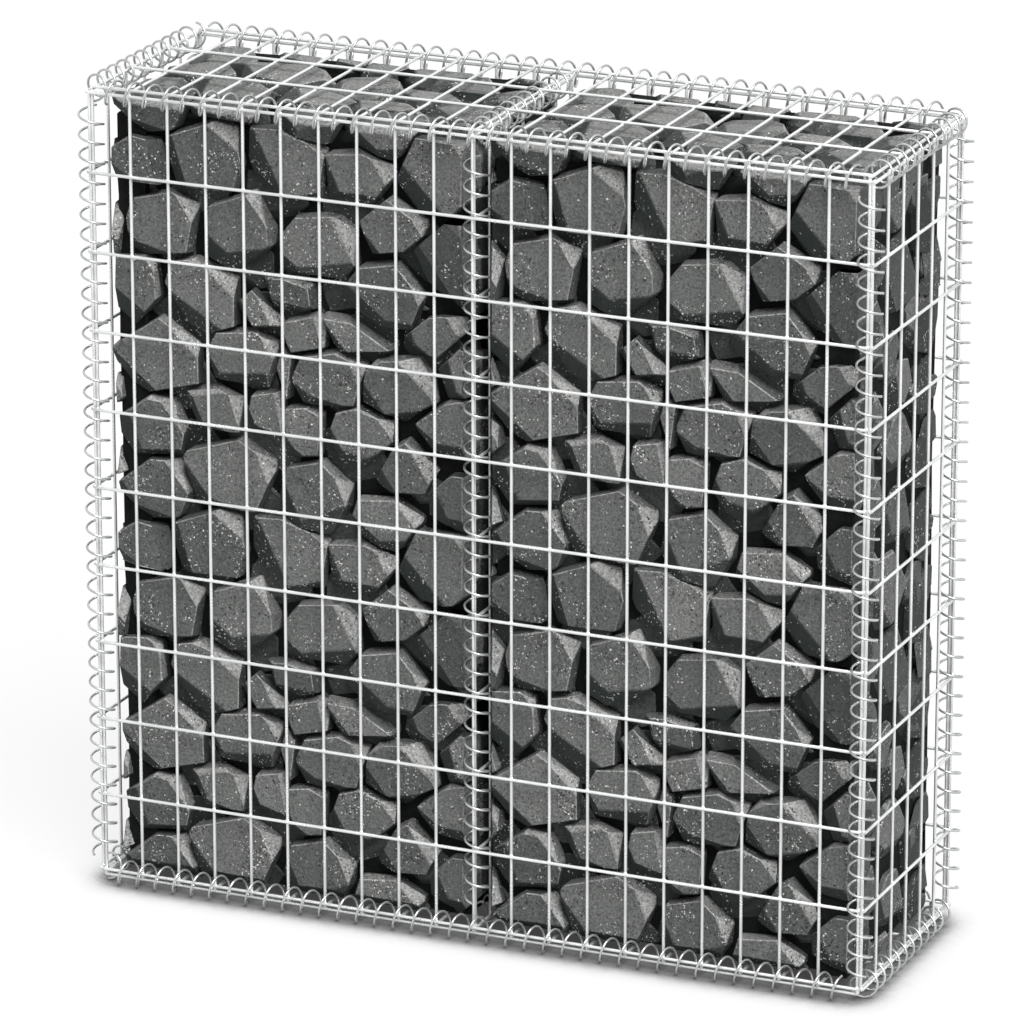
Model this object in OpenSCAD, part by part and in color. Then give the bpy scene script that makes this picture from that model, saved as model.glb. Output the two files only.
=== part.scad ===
// Two-bay gabion wall: a basket of welded wire panels, laced along its edges
// with spiral wire and filled with broken stone.
// The origin is on the ground under the middle of the wall. X runs along the
// wall, Y from the front to the back, and Z up.

/* [Basket] */
// Length of the basket, between the outer uprights of its front
basket_length = 1000; // [600:100:2000]
// Depth of the basket, between the planes of its front and back
basket_depth = 300; // [200:100:600]
// Height of the basket, between the lowest and highest level wire
basket_height = 1000; // [500:100:1500]

/* [Welded mesh] */
// Spacing of the uprights, and of the wires across the lid and base
mesh_width = 50; // [50:25:100]
// Spacing of the level wires, and of the long wires of the lid and base
mesh_height = 100; // [75:25:150]
// Diameter of the panel wire
wire_d = 4; // [3:0.5:5]
// How deep two crossing wires are pressed into each other by the weld
weld_depth = 1; // [0.6:0.1:1.4]
// How far each wire runs past the middle of the panel's edge wire
wire_tail = 1.5; // [1:0.1:2]

/* [Spiral lacing] */
// Diameter of a spiral, measured at the middle of its wire
spiral_d = 32; // [28:1:36]
// Diameter of the spiral wire
spiral_wire_d = 3; // [2:0.5:3.5]
// Length of one turn along the spiral
spiral_pitch = 25; // [20:1:30]

/* [Stone fill] */
// Gap between the stone and the wires of the front and back panels
stone_to_mesh = 5; // [3:0.5:10]
// Gap between the stone and the spirals at the ends of the basket
stone_to_spiral = 4.5; // [1:0.5:12]
// Distance from the lid's wires down to the stone
stone_headroom = 5; // [3:1:20]
// Gap between the stone and the level wires of the divider
stone_to_divider = 3; // [1:0.5:6]
// Size of the broken edge round the ends of the stone
stone_chamfer = 8; // [4:1:15]

/* [Fit] */
// Gap between pieces that rest on each other
seat_gap = 0.3; // [0.2:0.05:0.5]
// Least distance between two spirals, and between a spiral and the stone
coil_gap = 1; // [0.5:0.1:2]

/* [Hidden] */

zinc = "#c6c9ca";
stone_grey = "#585b5d";
bar_sides = 8;
ring_facets = 48;

// Whole meshes along, up and through the basket: the divider meets an upright,
// and each long wire of the lid meets an end panel's upright
meshes_along = 2 * max(1, round(basket_length / (2 * mesh_width)));
meshes_up = max(1, round(basket_height / mesh_height));
long_meshes = max(1, round(basket_depth / mesh_height));
meshes_deep = long_meshes * max(1, round(mesh_height / mesh_width));
mesh_along = basket_length / meshes_along;
mesh_up = basket_height / meshes_up;
mesh_deep = basket_depth / meshes_deep;

function stations(span, count) = [for (i = [0 : count]) (i / count - 0.5) * span];
along_stations = stations(basket_length, meshes_along);
up_stations = stations(basket_height, meshes_up);
deep_stations = stations(basket_depth, meshes_deep);
long_stations = stations(basket_depth, long_meshes);

// Distance between the two wire planes of a panel, and between the edge wires
// of two panels that meet
weld_step = wire_d - weld_depth;
wire_corner_r = wire_d / 2 / cos(180 / bar_sides);
panel_step = wire_d + seat_gap;

// A spiral has whole turns in each mesh. Its half rings lean, so their ends come
// closer to the spiral's axis than their middles.
spiral_r = spiral_d / 2;
coil_r = spiral_r + spiral_wire_d / 2;
function turn_pitch(mesh) = mesh / max(1, round(mesh / spiral_pitch));
function ring_lean(pitch) = asin(pitch / 4 / spiral_r);
function ring_end_r(pitch) = spiral_r * cos(ring_lean(pitch));

// Spirals at the corners are centred between the two edge wires that they lace,
// and the wall stands on the lowest turns of those along the base
corner_x = (basket_length + panel_step) / 2;
face_y = basket_depth / 2;
foot_r = max(ring_end_r(turn_pitch(mesh_along)), ring_end_r(turn_pitch(mesh_deep)));
bottom_z = foot_r + (spiral_wire_d + panel_step) / 2;
middle_z = bottom_z + basket_height / 2;
corner_rise = (basket_height + panel_step) / 2;
// A divider's spiral lies against the middle wire of the panel that it laces on
function divider_reach(mesh) =
    ring_end_r(turn_pitch(mesh)) - (spiral_wire_d + wire_d) / 2 - seat_gap;
divider_y = face_y - divider_reach(mesh_up);
divider_rise = basket_height / 2 + panel_step - divider_reach(mesh_deep);
// Where spirals meet, one of them stops this far from the end of its edge
corner_margin = coil_r + spiral_wire_d / 2 + coil_gap;
divider_margin = basket_height / 2 - divider_rise + corner_margin;

// A corner's spiral leans on the wires of the first panel that it crosses: the
// crossing lies this far past each wire, with room for the lean of a half ring
wire_offset = weld_step + panel_step / 2;
function lean_room(pitch) = pitch / 4 * (1 - cos(asin(wire_offset / spiral_r)));
function corner_phase(pitch) = wire_corner_r + spiral_wire_d / 2 + seat_gap + lean_room(pitch);
function divider_phase(pitch) = pitch / 4;

// The stone stands on the base panel, reaches nearly to the mesh, and stays clear of
// the spirals along the divider and along the base and the lid
stone_bottom = bottom_z - panel_step + wire_d / 2 + seat_gap;
stone_top = bottom_z + basket_height + panel_step - wire_d / 2 - stone_headroom;
stone_end_x = corner_x - coil_r - stone_to_spiral;
stone_face_y = face_y - wire_d / 2 - stone_to_mesh;
stone_divider_x = weld_step + wire_d / 2 + stone_to_divider;
divider_coil_height = middle_z - divider_rise - stone_bottom;
divider_chamfer = sqrt(2) * (coil_r + coil_gap) + divider_coil_height - stone_divider_x;
base_coil_height = middle_z - corner_rise - stone_bottom;
long_edge_chamfer = sqrt(2) * (coil_r + coil_gap) + base_coil_height - face_y + stone_face_y;

// One straight wire, centred on the origin, along Z
module wire(length) {
    rotate(180 / bar_sides)
        cylinder(r = wire_corner_r, h = length, center = true, $fn = bar_sides);
}

// A flat welded mesh: uprights along Y at z = 0, and levels along X above them
module welded_mesh(uprights, levels) {
    upright_length = levels[len(levels) - 1] - levels[0] + 2 * wire_tail;
    level_length = uprights[len(uprights) - 1] - uprights[0] + 2 * wire_tail;
    color(zinc) union() {
        for (x = uprights)
            translate([x, 0, 0]) rotate([90, 0, 0]) wire(upright_length);
        for (y = levels)
            translate([0, y, weld_step]) rotate([0, 90, 0]) wire(level_length);
    }
}

// A panel standing upright with its level wires on the side that it faces,
// turned from facing the front
module standing_panel(x, y, facing, uprights) {
    translate([x, y, middle_z]) rotate([90, 0, facing])
        welded_mesh(uprights, up_stations);
}

module front_panel() standing_panel(0, -face_y, 0, along_stations);
module back_panel() standing_panel(0, face_y, 180, along_stations);
module left_end_panel() standing_panel(-basket_length / 2 - panel_step, 0, -90, deep_stations);
module right_end_panel() standing_panel(basket_length / 2 + panel_step, 0, 90, deep_stations);

// The divider fits between the front and the back, so its edge wires stand closer
module divider_panel() {
    edge = face_y - panel_step;
    inner = [for (i = [1 : meshes_deep - 1]) deep_stations[i]];
    standing_panel(0, 0, 90, concat([-edge], inner, [edge]));
}

module lid_panel()
    translate([0, 0, bottom_z + basket_height + panel_step])
        welded_mesh(along_stations, long_stations);

module base_panel()
    translate([0, 0, bottom_z - panel_step]) rotate([180, 0, 0])
        welded_mesh(along_stations, long_stations);

// A left-handed coil up the Z axis, centred on the origin, in half rings that
// meet face to face. It starts on the +X side.
module coil(half_turns, pitch) {
    color(zinc) union() {
        for (i = [0 : half_turns - 1])
            translate([0, 0, (i + 0.5 - half_turns / 2) * pitch / 2])
                rotate([0, 0, 180 * i]) rotate([0, ring_lean(pitch), 0]) rotate([0, 0, 180])
                    rotate_extrude(angle = 180, $fn = ring_facets)
                        translate([spiral_r, 0]) circle(d = spiral_wire_d, $fn = ring_facets);
    }
}

// A spiral along an edge that is centred on the origin: phase is where it starts
// after a wire, and margin is what it leaves free at both ends of the edge
module edge_spiral(span, pitch, phase, margin) {
    start = phase + pitch * ceil((margin - phase) / pitch);
    half_turns = floor((span - margin - start) / (pitch / 2));
    middle = start + half_turns * pitch / 4;
    translate([0, 0, middle - span / 2]) coil(half_turns, pitch);
}

// Upright spirals. The turn brings the start of the coil to the panel that it
// leans on.
module corner_spiral(x, y, turn) {
    pitch = turn_pitch(mesh_up);
    translate([x, y, middle_z]) rotate([0, 0, turn])
        edge_spiral(basket_height, pitch, corner_phase(pitch), corner_margin);
}

module front_left_spiral() corner_spiral(-corner_x, -face_y, 90);
module front_right_spiral() corner_spiral(corner_x, -face_y, 180);
module back_left_spiral() corner_spiral(-corner_x, face_y, 0);
module back_right_spiral() corner_spiral(corner_x, face_y, 270);

module divider_upright_spiral(y, turn) {
    pitch = turn_pitch(mesh_up);
    translate([0, y, middle_z]) rotate([0, 0, turn])
        edge_spiral(basket_height, pitch, divider_phase(pitch), divider_margin);
}

module divider_front_spiral() divider_upright_spiral(-divider_y, 270);
module divider_back_spiral() divider_upright_spiral(divider_y, 90);

// Level spirals lean on the uprights of the standing panels. The four at the lid
// are two turned about, and those at the base are the lid's turned over.
module turned(over, about)
    translate([0, 0, middle_z]) rotate([over, 0, about]) children();

module long_spiral() {
    pitch = turn_pitch(mesh_along);
    translate([0, face_y, corner_rise]) rotate([0, 90, 0])
        edge_spiral(basket_length, pitch, corner_phase(pitch), corner_margin);
}

module lid_back_spiral() turned(0, 0) long_spiral();
module lid_front_spiral() turned(0, 180) long_spiral();
module base_front_spiral() turned(180, 0) long_spiral();
module base_back_spiral() turned(180, 180) long_spiral();

// From front to back: the end spirals run right through the corners, and the
// divider's stop short of the long ones
module cross_spiral(x, rise, turn, phase, margin)
    translate([x, 0, rise]) rotate([-90, 0, 0]) rotate([0, 0, turn])
        edge_spiral(basket_depth, turn_pitch(mesh_deep), phase, margin);

module end_spiral()
    cross_spiral(-corner_x, corner_rise, 90, corner_phase(turn_pitch(mesh_deep)), 0);

module lid_left_spiral() turned(0, 0) end_spiral();
module lid_right_spiral() turned(0, 180) end_spiral();
module base_left_spiral() turned(180, 0) end_spiral();
module base_right_spiral() turned(180, 180) end_spiral();

module divider_cross_spiral()
    cross_spiral(0, divider_rise, 270, divider_phase(turn_pitch(mesh_deep)), corner_margin);

module divider_lid_spiral() turned(0, 0) divider_cross_spiral();
module divider_base_spiral() turned(180, 0) divider_cross_spiral();

// A rectangle from low to high with its corners cut off, by one size at its low
// end in X and another at its high end
module cut_rectangle(low, high, low_cut, high_cut) {
    polygon([
        [low[0] + low_cut, low[1]], [high[0] - high_cut, low[1]],
        [high[0], low[1] + high_cut], [high[0], high[1] - high_cut],
        [high[0] - high_cut, high[1]], [low[0] + low_cut, high[1]],
        [low[0], high[1] - low_cut], [low[0], low[1] + low_cut]
    ]);
}

// The stone of the right bay: its plan, its front and its end, cut to each other
module stone_fill_right() {
    color(stone_grey) intersection() {
        translate([0, 0, stone_bottom]) linear_extrude(stone_top - stone_bottom)
            cut_rectangle([stone_divider_x, -stone_face_y], [stone_end_x, stone_face_y],
                          divider_chamfer, stone_chamfer);
        translate([0, stone_face_y, 0]) rotate([90, 0, 0]) linear_extrude(2 * stone_face_y)
            cut_rectangle([stone_divider_x, stone_bottom], [stone_end_x, stone_top],
                          divider_chamfer, stone_chamfer);
        rotate([90, 0, 90]) linear_extrude(stone_end_x)
            cut_rectangle([-stone_face_y, stone_bottom], [stone_face_y, stone_top],
                          long_edge_chamfer, long_edge_chamfer);
    }
}

module stone_fill_left() mirror([1, 0, 0]) stone_fill_right();

base_panel();
front_panel();
back_panel();
left_end_panel();
right_end_panel();
divider_panel();
lid_panel();
front_left_spiral();
front_right_spiral();
back_left_spiral();
back_right_spiral();
divider_front_spiral();
divider_back_spiral();
divider_base_spiral();
divider_lid_spiral();
base_front_spiral();
base_back_spiral();
base_left_spiral();
base_right_spiral();
lid_front_spiral();
lid_back_spiral();
lid_left_spiral();
lid_right_spiral();
stone_fill_left();
stone_fill_right();
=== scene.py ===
# A free-standing gabion wall in two bays: welded wire panels, laced at every edge with
# spiral wire and packed with broken stone. Sizes are in metres.
import random
from math import atan, cos, pi, radians, sin

import bpy
from mathutils import Matrix, Vector


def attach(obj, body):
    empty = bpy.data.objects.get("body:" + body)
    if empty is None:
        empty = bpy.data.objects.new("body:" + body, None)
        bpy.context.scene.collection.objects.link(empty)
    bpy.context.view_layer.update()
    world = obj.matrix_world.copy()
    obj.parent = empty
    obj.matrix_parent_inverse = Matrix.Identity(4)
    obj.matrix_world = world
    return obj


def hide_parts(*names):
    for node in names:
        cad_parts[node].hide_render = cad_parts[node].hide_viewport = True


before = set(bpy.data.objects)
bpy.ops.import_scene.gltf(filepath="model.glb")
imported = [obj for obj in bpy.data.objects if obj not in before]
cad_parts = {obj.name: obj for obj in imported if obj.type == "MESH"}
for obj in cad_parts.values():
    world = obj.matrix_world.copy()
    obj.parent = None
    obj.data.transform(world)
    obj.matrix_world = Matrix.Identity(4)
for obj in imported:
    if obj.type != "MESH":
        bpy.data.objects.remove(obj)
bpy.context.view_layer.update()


# Base panel: drawn steel wire of 4 mm, welded where it crosses into meshes of 50 by 100 mm
# and galvanised. It lies under the stone, with its long wires lowest.
wire_r = 0.0020
cropped_rim = 0.0004
weld_flatness = 0.45
mesh_width = 0.05
mesh_height = 0.10
end_x = 0.50
face_y = 0.15
long_wire = 1.003
short_wire = 0.303
uprights = 21
long_wires = 4


class Field:
    """A value in a finish's nodes. Arithmetic on it adds Math nodes."""

    def __init__(self, finish, socket):
        self.finish = finish
        self.socket = socket

    def math(self, operation, first, second):
        return self.finish.node("ShaderNodeMath", {"operation": operation}, {0: first, 1: second})

    def __add__(self, other):
        return self.math("ADD", self, other)

    def __radd__(self, other):
        return self.math("ADD", other, self)

    def __sub__(self, other):
        return self.math("SUBTRACT", self, other)

    def __rsub__(self, other):
        return self.math("SUBTRACT", other, self)

    def __mul__(self, other):
        return self.math("MULTIPLY", self, other)

    def __rmul__(self, other):
        return self.math("MULTIPLY", other, self)

    def also(self, output):
        """Another output of the same node."""
        return Field(self.finish, self.socket.node.outputs[output])

    def rise(self, low, high):
        """0 up to low, 1 from high, and a smooth step between."""
        return self.finish.node(
            "ShaderNodeMapRange",
            {"interpolation_type": "SMOOTHSTEP"},
            {"Value": self, "From Min": low, "From Max": high},
        )


class Finish:
    """The nodes of one material, or of the surroundings."""

    def __init__(self, owner):
        self.owner = owner
        owner.use_nodes = True
        owner.node_tree.nodes.clear()

    def node(self, kind, settings, sockets, output=0):
        """Adds a node: first its settings, then the values or links of its sockets."""
        made = self.owner.node_tree.nodes.new(kind)
        for key, value in settings.items():
            setattr(made, key, value)
        for key, value in sockets.items():
            if isinstance(value, Field):
                self.owner.node_tree.links.new(value.socket, made.inputs[key])
            else:
                made.inputs[key].default_value = value
        return Field(self, made.outputs[output]) if made.outputs else None

    def blend(self, share, first, second):
        """A colour between two colours."""
        return self.node("ShaderNodeMix", {"data_type": "RGBA"}, {0: share, 6: first, 7: second}, 2)

    def noise(self, where, scale, detail=2.0, rough=0.5):
        return self.node(
            "ShaderNodeTexNoise",
            {},
            {"Vector": where, "Scale": scale, "Detail": detail, "Roughness": rough},
        )


def zinc_finish(name, bright, dull, metal, rough):
    """Galvanised wire: bright zinc with a faint spangle, duller patches and small runs."""
    zinc = Finish(bpy.data.materials.new(name))
    where = zinc.node("ShaderNodeTexCoord", {}, {}, "Object")
    patches = zinc.noise(where, 24.0, 1.0, 0.5).rise(0.35, 0.70)
    spangle = zinc.node("ShaderNodeTexVoronoi", {}, {"Vector": where, "Scale": 420.0}, "Color")
    flake = zinc.node("ShaderNodeSeparateColor", {}, {"Color": spangle})
    runs = zinc.noise(where, 160.0, 3.0, 0.55)
    shine = patches * 0.9 + flake * 0.1
    bump = zinc.node("ShaderNodeBump", {}, {"Strength": 0.08, "Distance": 0.0002, "Height": runs})
    surface = zinc.node(
        "ShaderNodeBsdfPrincipled",
        {},
        {
            "Base Color": zinc.blend(shine, bright, dull),
            "Metallic": metal,
            "Roughness": rough + 0.1 * patches + 0.02 * flake,
            "Normal": bump,
        },
    )
    zinc.node("ShaderNodeOutputMaterial", {}, {"Surface": surface})
    return zinc.owner


mesh_zinc = zinc_finish("mesh_zinc", (0.76, 0.77, 0.77, 1), (0.64, 0.65, 0.65, 1), 0.6, 0.26)


def pick_faces(piece, wanted):
    """Opens edit mode with only the wanted faces selected."""
    bpy.ops.object.mode_set(mode="EDIT")
    bpy.ops.mesh.select_mode(type="FACE")
    bpy.ops.mesh.select_all(action="DESELECT")
    bpy.ops.object.mode_set(mode="OBJECT")
    for face in piece.data.polygons:
        face.select = wanted(face)
    bpy.ops.object.mode_set(mode="EDIT")


def in_steps(piece, step, count):
    """Repeats a piece at even steps."""
    steps = piece.modifiers.new("steps", "ARRAY")
    steps.use_relative_offset = False
    steps.use_constant_offset = True
    steps.constant_offset_displace = step
    steps.count = count
    bpy.ops.object.modifier_apply(modifier="steps")


def wire_row(axis, length, first, step, count):
    """Straight wires with cropped ends, side by side."""
    turn = {"X": (0, pi / 2, 0), "Y": (pi / 2, 0, 0), "Z": (0, 0, 0)}[axis]
    bpy.ops.object.select_all(action="DESELECT")
    bpy.ops.mesh.primitive_cylinder_add(
        vertices=14, radius=wire_r, depth=length, location=first, rotation=turn
    )
    row = bpy.context.object
    bpy.ops.object.transform_apply(location=True, rotation=True, scale=True)
    pick_faces(row, lambda face: len(face.vertices) > 4)
    bpy.ops.mesh.bevel(offset=cropped_rim, segments=2, affect="EDGES")
    bpy.ops.object.mode_set(mode="OBJECT")
    in_steps(row, step, count)
    return row


def weld_rows(across, first, step, count, next_step, next_count):
    """The squeezed metal at each crossing, flat between the two wires."""
    flat = [weld_flatness if axis == across else 1 for axis in "XYZ"]
    bpy.ops.object.select_all(action="DESELECT")
    bpy.ops.mesh.primitive_uv_sphere_add(
        segments=8, ring_count=5, radius=1.6 * wire_r, location=first
    )
    welds = bpy.context.object
    welds.scale = flat
    bpy.ops.object.transform_apply(location=True, rotation=True, scale=True)
    in_steps(welds, step, count)
    in_steps(welds, next_step, next_count)
    return welds


def joined(name, pieces):
    bpy.ops.object.select_all(action="DESELECT")
    for piece in pieces:
        piece.select_set(True)
    bpy.context.view_layer.objects.active = pieces[0]
    bpy.ops.object.join()
    whole = bpy.context.object
    whole.name = name
    whole.data.name = name
    return whole


def fix_panel(name, pieces, node):
    """Joins the wires and welds of a panel, which stands for its CAD node."""
    panel = joined(name, pieces)
    bpy.ops.object.shade_smooth_by_angle(angle=radians(40))
    panel.data.materials.clear()
    panel.data.materials.append(mesh_zinc)
    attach(panel, "root")
    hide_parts(node)


def flat_panel(name, node, cross_z, long_z):
    weld_z = (cross_z + long_z) / 2
    next_cross = (mesh_width, 0, 0)
    next_long = (0, mesh_height, 0)
    fix_panel(name, [
        wire_row("Y", short_wire, (-end_x, 0, cross_z), next_cross, uprights),
        wire_row("X", long_wire, (0, -face_y, long_z), next_long, long_wires),
        weld_rows("Z", (-end_x, -face_y, weld_z), next_cross, uprights, next_long, long_wires),
    ], node)


flat_panel("base_mesh", "base_panel", 0.01408, 0.01108)


# Front and back panels: the same welded mesh stood upright, 21 uprights and 11 level wires
# each, with the level wires on the outside.
lowest_wire = 0.01838
middle = 0.51838
levels = 11
next_level = (0, 0, mesh_height)


def long_side(name, node, upright_y, level_y):
    weld_y = (upright_y + level_y) / 2
    next_upright = (mesh_width, 0, 0)
    fix_panel(name, [
        wire_row("Z", long_wire, (-end_x, upright_y, middle), next_upright, uprights),
        wire_row("X", long_wire, (0, level_y, lowest_wire), next_level, levels),
        weld_rows("Y", (-end_x, weld_y, lowest_wire), next_upright, uprights, next_level, levels),
    ], node)


long_side("front_mesh", "front_panel", -face_y, -0.153)
long_side("back_mesh", "back_panel", face_y, 0.153)


# End panels: the same welded mesh, seven uprights each. They stand just outside the ends of
# the long sides, with their level wires outermost.
end_uprights = 7
next_end_upright = (0, mesh_width, 0)


def short_side(name, node, upright_x, level_x):
    weld_x = (upright_x + level_x) / 2
    fix_panel(name, [
        wire_row("Z", long_wire, (upright_x, -face_y, middle), next_end_upright, end_uprights),
        wire_row("Y", short_wire, (level_x, 0, lowest_wire), next_level, levels),
        weld_rows(
            "X", (weld_x, -face_y, lowest_wire), next_end_upright, end_uprights, next_level, levels
        ),
    ], node)


short_side("left_end_mesh", "left_end_panel", -0.5043, -0.5073)
short_side("right_end_mesh", "right_end_panel", 0.5043, 0.5073)


# Divider: a slightly narrower panel across the middle, which keeps the long sides from
# bulging and parts the wall into its two bays.
edge_y = 0.1457
inner_y = 0.10
inner_uprights = 5
level_x = 0.003
weld_x = level_x / 2
edge_to_edge = (0, 2 * edge_y, 0)
inner_weld = (weld_x, -inner_y, lowest_wire)
edge_weld = (weld_x, -edge_y, lowest_wire)
fix_panel("divider_mesh", [
    wire_row("Z", long_wire, (0, -inner_y, middle), next_end_upright, inner_uprights),
    wire_row("Z", long_wire, (0, -edge_y, middle), edge_to_edge, 2),
    wire_row("Y", 0.2944, (level_x, 0, lowest_wire), next_level, levels),
    weld_rows("X", inner_weld, next_end_upright, inner_uprights, next_level, levels),
    weld_rows("X", edge_weld, edge_to_edge, 2, next_level, levels),
], "divider_panel")


# Base spirals: hard-drawn 3 mm spring wire, wound left-handed at 25 mm to the turn and
# screwed in along the edges. The wall stands on their lowest turns.
lacing_r = 0.0015
coil_r = 0.0150
pitch = 0.025
lead = atan(pitch / (2 * pi * coil_r))
# Painted shade: the spirals get a darker copy of the galvanised finish that the mesh wires have
shaded_spiral_zinc = zinc_finish("shaded_spiral_zinc", (0.50, 0.51, 0.51, 1), (0.36, 0.37, 0.37, 1), 0.66, 0.2)


def lacing_spiral(name, node, start, turns, place, turn, early=0.0):
    """Winds a spiral up the Z axis from the +X side, then sets it along its edge."""
    first = 2 * pi * early
    turns += early
    bpy.ops.object.select_all(action="DESELECT")
    bpy.ops.mesh.primitive_circle_add(
        vertices=10, radius=lacing_r, fill_type="NOTHING",
        location=(coil_r * cos(first), coil_r * sin(first), start - pitch * early),
        rotation=(pi / 2 - lead, 0, first),
    )
    spiral = bpy.context.object
    spiral.name = name
    spiral.data.name = name
    bpy.ops.object.transform_apply(location=True, rotation=True, scale=True)
    winding = spiral.modifiers.new("winding", "SCREW")
    winding.axis = "Z"
    winding.angle = -2 * pi * turns
    winding.screw_offset = pitch * turns
    winding.steps = round(24 * turns)
    winding.render_steps = winding.steps
    bpy.ops.object.modifier_apply(modifier="winding")
    bpy.ops.object.mode_set(mode="EDIT")
    bpy.ops.mesh.select_all(action="SELECT")
    bpy.ops.mesh.fill_holes(sides=0)
    bpy.ops.mesh.select_all(action="SELECT")
    bpy.ops.mesh.normals_make_consistent(inside=False)
    bpy.ops.object.mode_set(mode="OBJECT")
    spiral.matrix_world = Matrix.Translation(place) @ turn
    bpy.ops.object.transform_apply(location=True, rotation=True, scale=True)
    bpy.ops.object.shade_smooth_by_angle(angle=radians(50))
    spiral.data.materials.append(shaded_spiral_zinc)
    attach(spiral, "root")
    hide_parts(node)


def turned(degrees, axis):
    return Matrix.Rotation(radians(degrees), 4, axis)


over = turned(180, "X")
about = turned(180, "Z")
along_x = turned(90, "Y")
along_y = turned(-90, "X") @ turned(90, "Z")
across_divider = turned(-90, "X") @ turned(270, "Z")
long_start = -0.4697
long_turns = 38
long_early = 0.60
end_start = -0.1452
end_turns = 11.5
divider_turns = 9.5
corner_x = 0.50215
base_z = 0.01623
for name, node, y, turn in (
    ("base_front_lacing", "base_front_spiral", -face_y, over @ along_x),
    ("base_back_lacing", "base_back_spiral", face_y, about @ over @ along_x),
):
    lacing_spiral(name, node, long_start, long_turns, (0, y, base_z), turn, long_early)
for name, node, x, turn in (
    ("base_left_lacing", "base_left_spiral", -corner_x, over @ along_y),
    ("base_right_lacing", "base_right_spiral", corner_x, about @ over @ along_y),
):
    lacing_spiral(name, node, end_start, end_turns, (x, 0, base_z), turn)
lacing_spiral(
    "base_divider_lacing", "divider_base_spiral", -0.11825, divider_turns,
    (0, 0, 0.0250), over @ across_divider,
)


# Upright spirals: the same spring wire, cut as long as the wall is high. They close the four
# corners, and two more hold the divider to the long sides.
corner_early = 0.4
divider_start = -0.4683
divider_y = 0.13907
for name, node, x, y, degrees in (
    ("front_left_lacing", "front_left_spiral", -corner_x, -face_y, 90),
    ("front_right_lacing", "front_right_spiral", corner_x, -face_y, 180),
    ("back_left_lacing", "back_left_spiral", -corner_x, face_y, 0),
    ("back_right_lacing", "back_right_spiral", corner_x, face_y, 270),
):
    turn = turned(degrees, "Z")
    lacing_spiral(name, node, long_start, long_turns, (x, y, middle), turn, corner_early)
for name, node, y, degrees in (
    ("divider_front_lacing", "divider_front_spiral", -divider_y, 270),
    ("divider_back_lacing", "divider_back_spiral", divider_y, 90),
):
    lacing_spiral(name, node, divider_start, 37.5, (0, y, middle), turned(degrees, "Z"))


# Stone fill: quarried stone broken to about 60 to 120 mm, with flat faces and sharp edges.
# It is packed by hand, flat faces outward, so each layer of stones fits its neighbours.
stone_depth = 0.082
girth_range = (0.016, 0.028)
front_slope = (0.001, 0.004)
back_slope = (0.008, 0.022)
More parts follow.
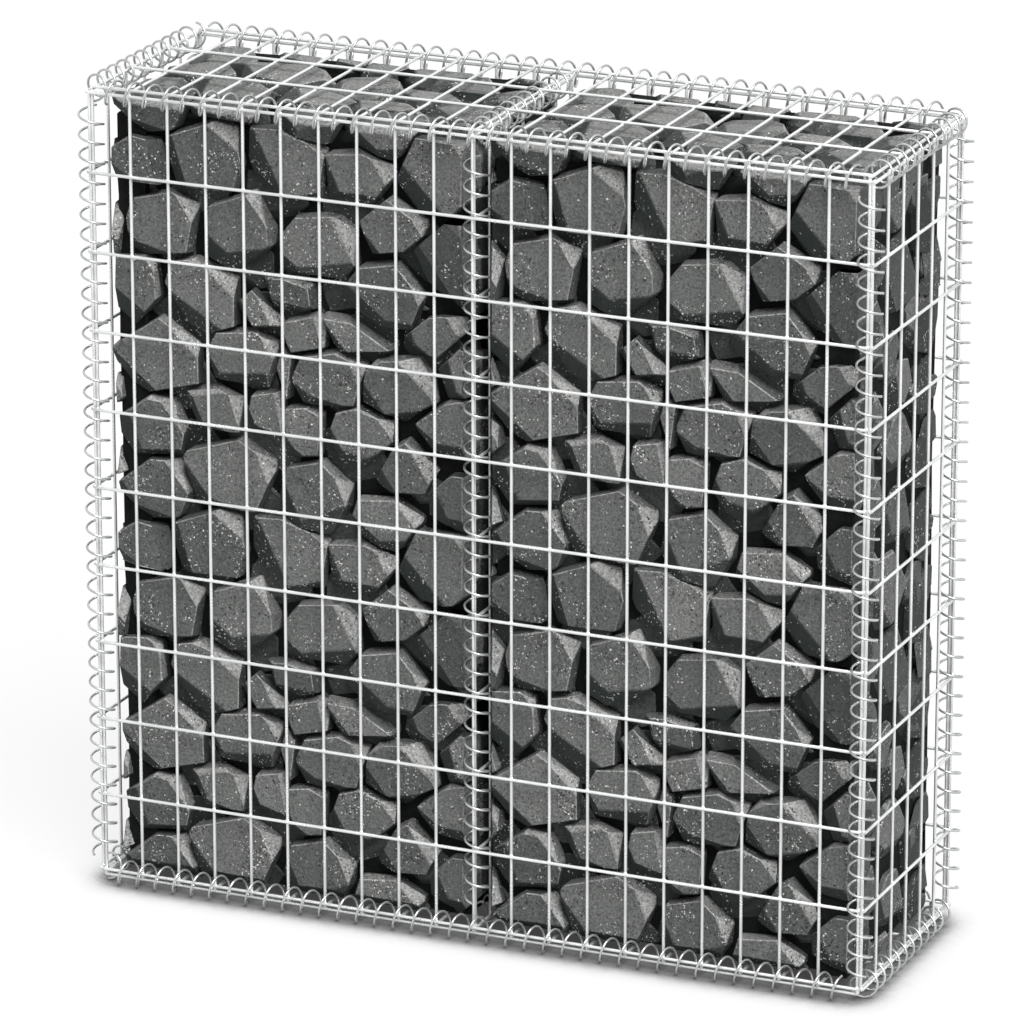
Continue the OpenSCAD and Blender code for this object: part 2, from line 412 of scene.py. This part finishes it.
# Heading in degrees, least and most fall as shares of the stone's size, and depth at the rim
breaks = (
    (33, 0.10, 0.30, 0.016),
    (216, 0.20, 0.42, 0.013),
    (268, 0.10, 0.34, 0.012),
)
chips = 4
chip_range = (0.001, 0.004)
edge_chip = 0.0011
tone_range = (0.285, 0.425)
least_part = 0.012
stretch_x = 0.50
stretch_z = 0.49
stone_outlines = [
    [(15, 932), (47, 954), (90, 951), (95, 897), (25, 897)],
    [(94, 946), (98, 960), (163, 985), (190, 977), (199, 935), (188, 897), (107, 898)],
    [(204, 945), (207, 980), (248, 982), (308, 962), (300, 900), (254, 898), (212, 925)],
    [(312, 961), (350, 967), (398, 951), (398, 938), (370, 901), (345, 896), (310, 903)],
    [(397, 934), (424, 991), (495, 990), (526, 945), (475, 899), (427, 901)],
    [(42, 858), (48, 875), (100, 889), (137, 874), (127, 812), (70, 803), (47, 812)],
    [(150, 877), (213, 902), (236, 860), (238, 832), (200, 804), (168, 800), (145, 812)],
    [(253, 860), (267, 877), (318, 886), (344, 868), (348, 822), (330, 803), (254, 806)],
    [(354, 882), (391, 914), (438, 888), (438, 870), (412, 848), (367, 838)],
    [(420, 850), (464, 891), (500, 891), (538, 852), (532, 802), (465, 797), (437, 815)],
    [(4, 790), (12, 800), (60, 806), (80, 797), (86, 750), (52, 712), (8, 745)],
    [(92, 775), (102, 804), (131, 810), (186, 788), (187, 728), (147, 714), (120, 724)],
    [(186, 757), (209, 778), (250, 742), (249, 732), (212, 729)],
    [(221, 797), (250, 801), (288, 793), (292, 762), (272, 753), (238, 757)],
    [(252, 745), (292, 758), (303, 752), (306, 715), (263, 703), (251, 712)],
    [(252, 710), (262, 700), (258, 645), (250, 648), (243, 675)],
    [(301, 757), (312, 768), (335, 756), (393, 747), (393, 716), (318, 712)],
    [(326, 789), (352, 825), (401, 835), (436, 795), (420, 752), (375, 751), (331, 772)],
    [(408, 742), (444, 773), (485, 775), (493, 760), (456, 722), (412, 728)],
    [(22, 688), (86, 731), (137, 700), (140, 649), (70, 630), (45, 640), (24, 665)],
    [(151, 700), (163, 722), (216, 728), (240, 712), (242, 690), (228, 655), (155, 658)],
    [(275, 704), (323, 715), (359, 701), (344, 645), (272, 642), (263, 665)],
    [(352, 651), (359, 697), (372, 711), (428, 719), (447, 690), (452, 662), (408, 637)],
    [(452, 707), (480, 736), (522, 728), (534, 698), (495, 676), (465, 672)],
    [(30, 600), (70, 629), (100, 626), (117, 590), (110, 553), (45, 548), (28, 570)],
    [(114, 631), (121, 642), (160, 651), (192, 638), (191, 596), (135, 595)],
    [(200, 612), (208, 648), (249, 653), (249, 600), (206, 598)],
    [(252, 634), (279, 641), (302, 631), (298, 577), (255, 571)],
    [(304, 600), (317, 636), (346, 646), (393, 632), (397, 606), (350, 565), (322, 578)],
    [(365, 556), (394, 603), (413, 615), (452, 578), (436, 546), (388, 544)],
    [(427, 640), (466, 670), (497, 671), (533, 644), (537, 622), (510, 594), (440, 604)],
    [(113, 553), (121, 566), (192, 588), (235, 563), (237, 545), (214, 496), (128, 497)],
    [(253, 560), (301, 574), (338, 545), (335, 515), (310, 477), (250, 487), (241, 515)],
    [(22, 511), (66, 546), (104, 549), (126, 511), (112, 476), (72, 468), (24, 498)],
    [(348, 533), (402, 537), (431, 518), (432, 505), (400, 467), (348, 480), (340, 500)],
    [(441, 548), (468, 575), (505, 577), (526, 557), (537, 526), (490, 503), (441, 520)],
]
chance = random.Random(11)
stone = Finish(bpy.data.materials.new("broken_stone"))
where = stone.node("ShaderNodeTexCoord", {}, {}, "Object")
tone_and_painted_light = stone.node("ShaderNodeAttribute", {"attribute_name": "tone_and_painted_light"}, {}, "Fac")
grain = stone.noise(where, 330.0, 3.0, 0.7)
lumps = stone.noise(where, 75.0, 3.0, 0.6)
clusters = stone.noise(where, 24.0, 2.0, 0.5).rise(0.48, 0.64)
warp = stone.noise(where, 520.0, 1.0).also("Color")
bent = stone.node(
    "ShaderNodeVectorMath",
    {"operation": "MULTIPLY_ADD"},
    {0: warp, 1: (0.004, 0.004, 0.004), 2: where},
)
spot = stone.node("ShaderNodeTexVoronoi", {}, {"Vector": bent, "Scale": 390.0}, "Distance")
kind = stone.node("ShaderNodeSeparateColor", {}, {"Color": spot.also("Color")})
round_spot = (0.20 + 0.38 * kind.also("Blue") - spot).rise(0.0, 0.14)
# Pale specks are painted glints, also raised a little in the bump; pits are sunk in the bump and painted
# near black as painted shade in their hollows
specks_and_glints = round_spot * (kind + 0.32 * clusters).rise(0.95, 0.985)
pits_and_pit_shade = round_spot * (kind.also("Green") + 0.40 * clusters).rise(0.87, 0.92)
# The body colour follows each stone's own tone together with the painted light and shade of its facets
body = stone.blend(tone_and_painted_light, (0.013, 0.018, 0.017, 1), (0.255, 0.255, 0.251, 1))
grained = stone.blend(grain.rise(0.30, 0.72), (0.50, 0.51, 0.51, 1), (1.40, 1.40, 1.38, 1))
mottled = stone.node("ShaderNodeVectorMath", {"operation": "MULTIPLY"}, {0: body, 1: grained})
pit_shaded = stone.blend(pits_and_pit_shade * 0.9, mottled, (0.006, 0.006, 0.006, 1))
glint_share = specks_and_glints * (0.4 + 0.7 * kind.also("Green"))
glinted = stone.blend(glint_share, pit_shaded, (0.70, 0.70, 0.68, 1))
height = 0.9 * lumps + 0.5 * grain + 0.5 * specks_and_glints - 0.9 * pits_and_pit_shade
bump = stone.node("ShaderNodeBump", {}, {"Strength": 1.0, "Distance": 0.0014, "Height": height})
surface = stone.node(
    "ShaderNodeBsdfPrincipled",
    {},
    {
        "Base Color": glinted,
        "Roughness": 0.62 + 0.22 * grain,
        "Specular IOR Level": 0.35,
        "Normal": bump,
    },
)
stone.node("ShaderNodeOutputMaterial", {}, {"Surface": surface})

# Painted shade: the core is coloured near black, so the gaps between the outer stones show dark shade
shadow_core_finish = Finish(bpy.data.materials.new("core_in_painted_shade"))
where = shadow_core_finish.node("ShaderNodeTexCoord", {}, {}, "Object")
lumps = shadow_core_finish.noise(where, 60.0, 3.0, 0.6)
surface = shadow_core_finish.node(
    "ShaderNodeBsdfPrincipled",
    {},
    {
        "Base Color": shadow_core_finish.blend(lumps, (0.002, 0.0021, 0.0021, 1), (0.011, 0.012, 0.012, 1)),
        "Roughness": 0.75 + 0.2 * lumps,
        "Specular IOR Level": 0.1,
        "Normal": shadow_core_finish.node("ShaderNodeBump", {}, {"Strength": 1.0, "Distance": 0.006, "Height": lumps}),
    },
)
shadow_core_finish.node("ShaderNodeOutputMaterial", {}, {"Surface": surface})


def saw(point, normal):
    """Cuts the stone in edit mode along a plane and drops the side that the normal points to."""
    bpy.ops.mesh.select_all(action="SELECT")
    bpy.ops.mesh.bisect(plane_co=point, plane_no=normal, use_fill=True, clear_outer=True)


def split_stone(outline):
    """Splits a block to an outline in millimetres, with a flat face at y = 0 and broad breaks."""
    points = [Vector((u / 1000, 0, v / 1000)) for u, v in outline]
    low = Vector((min(p.x for p in points), 0, min(p.z for p in points)))
    high = Vector((max(p.x for p in points), stone_depth, max(p.z for p in points)))
    centre = (low + high) / 2
    size = min(high.x - low.x, high.z - low.z)
    bpy.ops.object.select_all(action="DESELECT")
    bpy.ops.mesh.primitive_cube_add(size=1, location=centre)
    block = bpy.context.object
    block.scale = high - low
    bpy.ops.object.transform_apply(location=True, rotation=True, scale=True)
    block.data.materials.append(stone.owner)
    bpy.ops.object.mode_set(mode="EDIT")
    for p, q in zip(points, points[1:] + points[:1]):
        side = Vector((p.z - q.z, 0, q.x - p.x)).normalized()
        girth = chance.uniform(*girth_range)
        at = (p + q) / 2 + Vector((0, girth, 0))
        saw(at, side * girth - Vector((0, chance.uniform(*front_slope), 0)))
        saw(at, side * (stone_depth - girth) + Vector((0, chance.uniform(*back_slope), 0)))
    for heading, least, most, deep in breaks:
        aim = radians(heading + chance.uniform(-20, 20))
        side = Vector((cos(aim), 0, sin(aim)))
        reach = max(p.dot(side) for p in points)
        fall = size * chance.uniform(least, most)
        saw(side * reach + Vector((0, deep, 0)), side * deep - Vector((0, fall, 0)))
    for y, aim, tilt in ((0.0025, -1, 0.07), (stone_depth - 0.006, 1, 0.2)):
        at = Vector((centre.x, y, centre.z))
        saw(at, (chance.uniform(-tilt, tilt), aim, chance.uniform(-tilt, tilt)))
    bpy.ops.object.mode_set(mode="OBJECT")
    for chip in range(chips):
        aim = Vector((chance.uniform(-1, 1), chance.uniform(-0.6, 0.9), chance.uniform(-1, 1)))
        aim.normalize()
        tip = max((v.co for v in block.data.vertices), key=lambda co: co.dot(aim)).copy()
        bpy.ops.object.mode_set(mode="EDIT")
        saw(tip - aim * chance.uniform(*chip_range), aim)
        bpy.ops.object.mode_set(mode="OBJECT")
    return block


patterns = [split_stone(outline) for outline in stone_outlines]


def paint_facet_light(piece, turn, tone_and_layer_shade, painted_facet_light):
    """Paints light and shade into a tone for each face: facets leaning up and to the right are painted
    pale, facets facing down or left and facets turned aside into the gaps are painted dark.
    """
    back = turn.to_3x3().transposed()
    tones_and_painted_light = []
    for face in piece.data.polygons:
        normal = back @ face.normal
        # Painted shade: facets turned aside into the gaps keep only half the tone; painted light: facets
        # leaning up and to the right are made paler
        outward_lit_share = min(1, max(0, -1.7 * normal.y))
        toward_light = 0.6 * normal.x + 0.8 * normal.z
        tones_and_painted_light.append(min(1, max(0, tone_and_layer_shade * (0.5 + 0.5 * outward_lit_share) + painted_facet_light * toward_light * outward_lit_share)))
    tone_and_painted_light = piece.data.attributes.new("tone_and_painted_light", "FLOAT", "FACE")
    tone_and_painted_light.data.foreach_set("value", tones_and_painted_light)


def spiral_trims(low, high, side, ends):
    """Planes that keep a stone clear of the spirals of the divider, the base and the lid."""
    planes = []
    if low.x < 0.034 and high.x > -0.034:
        planes.append(((side * 0.0165, ends * 0.1331, 0), (-side, ends * 0.36, 0)))
        planes.append(((side * 0.013, 0, 0.9987), (-side, 0, 1)))
        planes.append(((side * 0.013, 0, 0.0380), (-side, 0, -1)))
    if low.z < 0.05:
        planes.append(((0, ends * 0.130, 0.0217), (0, ends, -1)))
    if high.z > 0.99:
        planes.append(((0, ends * 0.135, 1.0101), (0, ends, 1)))
    return planes


def lay_stone(pattern, place, room, painted_layer_shading, painted_facet_light):
    """Copies a stone to its place, trims it to the room there and chips its edges."""
    spots = [place @ v.co for v in pattern.data.vertices]
    low = Vector([min(spot[i] for spot in spots) for i in range(3)])
    high = Vector([max(spot[i] for spot in spots) for i in range(3)])
    # Each stone's own random tone, plus the painted shading of its layer
    tone_and_layer_shade = painted_layer_shading + chance.uniform(*tone_range)
    if any(low[i] > room[i][1] - least_part or high[i] < room[i][0] + least_part for i in range(3)):
        return None
    copy = pattern.copy()
    copy.data = pattern.data.copy()
    bpy.context.scene.collection.objects.link(copy)
    copy.data.transform(place)
    trims = []
    for i in range(3):
        for end, limit, sign in ((low, room[i][0], -1), (high, room[i][1], 1)):
            if sign * (end[i] - limit) > 0:
                tilt = Vector([chance.uniform(-0.05, 0.05) for j in range(3)])
                tilt[i] = sign
                at = (low + high) / 2
                at[i] = limit - sign * chance.uniform(0.002, 0.004)
                trims.append((at, tilt))
    side = 1 if room[0][1] > 0 else -1
    ends = 1 if low.y + high.y > 0 else -1
    bpy.ops.object.select_all(action="DESELECT")
    copy.select_set(True)
    bpy.context.view_layer.objects.active = copy
    bpy.ops.object.mode_set(mode="EDIT")
    for at, tilt in trims + spiral_trims(low, high, side, ends):
        saw(at, tilt)
    bpy.ops.mesh.select_all(action="SELECT")
    bpy.ops.mesh.remove_doubles(threshold=0.0022)
    bpy.ops.mesh.bevel(offset=edge_chip, segments=1, affect="EDGES", clamp_overlap=True)
    bpy.ops.object.mode_set(mode="OBJECT")
    paint_facet_light(copy, place, tone_and_layer_shade, painted_facet_light)
    return copy


def packed_core(near, far):
    """The stones behind the outer layers, which close together into one mass, coloured near black as
    painted shade.
    """
    near = Vector(near)
    far = Vector(far)
    bpy.ops.object.select_all(action="DESELECT")
    bpy.ops.mesh.primitive_cube_add(size=1, location=(near + far) / 2)
    core = bpy.context.object
    core.scale = [abs(c) for c in far - near]
    bpy.ops.object.transform_apply(location=True, rotation=True, scale=True)
    core.data.materials.append(shadow_core_finish.owner)
    bpy.ops.object.mode_set(mode="EDIT")
    bpy.ops.mesh.select_all(action="SELECT")
    bpy.ops.mesh.subdivide(number_cuts=9)
    bpy.ops.transform.vertex_random(offset=0.002, seed=chance.randrange(1000))
    bpy.ops.object.mode_set(mode="OBJECT")
    paint_facet_light(core, Matrix.Identity(4), 0, 0)
    return core


def fill_bay(name, node, side):
    """Layers face the front, the back, the lid and the end, two deep along the wall, round a core."""
    low_z = 0.0164
    step_z = 0.966
    top_z = 1.0160
    across = sorted((side * 0.0045, side * 0.4845))
    at_end = sorted((side * 0.400, side * 0.4845))
    front = Matrix.Translation((-0.507, -0.142, lowest_wire - 0.006))
    lid = Matrix.Translation((-0.511, -0.492, 1.0150)) @ turned(-90, "X")
    end = Matrix.Translation((side * 0.4830, side * -0.470, lowest_wire)) @ turned(side * 90, "Z")
    behind = Matrix.Translation((0.045, 0.0195, 0.052))
    # Each layer has its place, the room it may fill, the painted shading added to its stones' tone, and
    # the strength of painted light on their facets
    layers = (
        (front, (across, (-0.1455, -0.060), (low_z, top_z)), 0, 1.3),
        (about @ front, (across, (0.060, 0.1455), (low_z, step_z)), 0, 1.3),
        # Painted light: the lid's stones are made paler
        (lid, (across, (-0.105, 0.1455), (0.960, top_z)), 0.18, 1.3),
        (end, (at_end, (-0.100, 0.100), (low_z, step_z)), 0, 1.3),
        # Painted shade: the stones behind are darker, with weaker painted light on their facets
        (front @ behind, (across, (-0.130, -0.060), (low_z, step_z)), -0.27, 0.3),
        (about @ front @ behind, (across, (0.060, 0.130), (low_z, step_z)), -0.27, 0.3),
    )
    # Near and far corners of the right bay's masses in painted shade, which the left bay mirrors
    cores = (
        ((0.018, -0.118, 0.020), (0.473, 0.118, 0.985)),
        ((0.026, 0.116, 0.900), (0.473, 0.137, 1.003)),
        ((0.028, 0.106, 0.900), (0.473, 0.127, 1.010)),
        ((0.468, 0.100, 0.020), (0.4785, 0.1385, 0.990)),
        ((0.440, -0.080, 0.020), (0.478, -0.1285, 0.990)),
        ((0.440, 0.080, 0.020), (0.478, 0.1285, 0.990)),
    )
    stones = []
    for near, far in cores:
        stones.append(packed_core((side * near[0], *near[1:]), (side * far[0], *far[1:])))
    if side < 0:
        # Inner stones in painted shade reach through one column of the divider's meshes
        for row in range(levels - 1):
            z = lowest_wire + mesh_height * row
            near = (-0.020, 0.006, max(z + 0.007, 0.0455))
            far = (0.020, 0.044, min(z + 0.093, 0.9970))
            stones.append(packed_core(near, far))
    for place, room, painted_layer_shading, painted_facet_light in layers:
        for i in (-1, 0, 1, 2):
            for j in (-2, -1, 0, 1):
                shift = Matrix.Translation((stretch_x * i, 0, stretch_z * j))
                for pattern in patterns:
                    stones.append(lay_stone(pattern, place @ shift, room, painted_layer_shading, painted_facet_light))
    fill = joined(name, [piece for piece in stones if piece])
    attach(fill, "root")
    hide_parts(node)


fill_bay("stones_left", "stone_fill_left", -1)
fill_bay("stones_right", "stone_fill_right", 1)
for pattern in patterns:
    bpy.data.meshes.remove(pattern.data)


# Lid: the same welded and galvanised mesh as the base, laid on when the bays are full, with
# its long wires on top.
flat_panel("lid_mesh", "lid_panel", 1.02268, 1.02568)


# Lid spirals: spring wire like the others, screwed in last along the lid's four edges and
# over the divider, to close the basket.
lid_z = 1.02053
for name, node, y, turn in (
    ("lid_front_lacing", "lid_front_spiral", -face_y, about @ along_x),
    ("lid_back_lacing", "lid_back_spiral", face_y, along_x),
):
    lacing_spiral(name, node, long_start, long_turns, (0, y, lid_z), turn, long_early)
for name, node, x, turn in (
    ("lid_left_lacing", "lid_left_spiral", -corner_x, along_y),
    ("lid_right_lacing", "lid_right_spiral", corner_x, about @ along_y),
):
    lacing_spiral(name, node, end_start, end_turns, (x, 0, lid_z), turn)
lacing_spiral(
    "lid_divider_lacing", "divider_lid_spiral", -0.11675, divider_turns,
    (0, 0, 1.0177), across_divider, 0.45,
)


# Studio: a white floor whose soft contact shadow is mostly painted shadow, drawn from ambient occlusion
# into its glow, with a little real shadow from the lamp; one broad lamp from the upper right and even
# white surroundings.
bpy.ops.object.select_all(action="DESELECT")
bpy.ops.mesh.primitive_grid_add(x_subdivisions=4, y_subdivisions=4, size=60, location=(0, 0, -0.0004))
floor = bpy.context.object
floor.name = "floor"
white = Finish(bpy.data.materials.new("floor_white"))
seen = white.node("ShaderNodeLightPath", {}, {}, "Is Camera Ray")
shown = seen + seen.also("Is Glossy Ray") + seen.also("Is Transmission Ray")
# Painted shadow: the glow that the camera sees darkens where ambient occlusion finds the wall close by
open_sky = white.node("ShaderNodeAmbientOcclusion", {"samples": 8}, {"Distance": 0.068}, "AO")
paper = white.node("ShaderNodeBsdfDiffuse", {}, {"Color": (0.50, 0.50, 0.50, 1)})
shade = white.blend(open_sky.rise(0.53, 0.96), (0.06, 0.06, 0.06, 1), (1.05, 1.05, 1.05, 1))
glow = white.node("ShaderNodeEmission", {}, {"Color": shade, "Strength": 1.0})
sheet = white.node("ShaderNodeMixShader", {}, {0: shown * 0.8, 1: paper, 2: glow})
white.node("ShaderNodeOutputMaterial", {}, {"Surface": sheet})
floor.data.materials.append(white.owner)

around = bpy.data.worlds.new("surroundings")
bpy.context.scene.world = around
room = Finish(around)
seen = room.node("ShaderNodeLightPath", {}, {}, "Is Camera Ray")
shown = seen + seen.also("Is Glossy Ray") + seen.also("Is Transmission Ray")
aim = room.node("ShaderNodeTexCoord", {}, {}, "Object")
up = room.node("ShaderNodeSeparateXYZ", {}, {"Vector": aim}, "Z")
overhead = room.blend(up.rise(-0.1, 0.9), (0.26, 0.26, 0.26, 1), (0.72, 0.72, 0.72, 1))
soft = room.node("ShaderNodeBackground", {}, {"Color": overhead, "Strength": 1.0})
plain = room.node("ShaderNodeBackground", {}, {"Color": (1, 1, 1, 1), "Strength": 1.0})
sky = room.node("ShaderNodeMixShader", {}, {0: shown, 1: soft, 2: plain})
room.node("ShaderNodeOutputWorld", {}, {"Surface": sky})

bpy.ops.object.light_add(type="SUN")
lamp = bpy.context.object
lamp.name = "broad_lamp"
lamp.data.energy = 5.0
lamp.data.angle = radians(38)
lamp.rotation_euler = Vector((-0.42, 0.40, -0.81)).to_track_quat("-Z", "Y").to_euler()

bpy.ops.object.camera_add(location=(3.265, -7.560, 3.233))
camera = bpy.context.object
camera.data.lens = 250.45
camera.data.sensor_width = 36
camera.data.clip_end = 100
heading = radians(23.45)
fall = radians(18.32)
looking = Vector((-sin(heading) * cos(fall), cos(heading) * cos(fall), -sin(fall)))
camera.rotation_euler = looking.to_track_quat("-Z", "Y").to_euler()
bpy.context.scene.camera = camera
bpy.context.scene.view_settings.view_transform = "Standard"
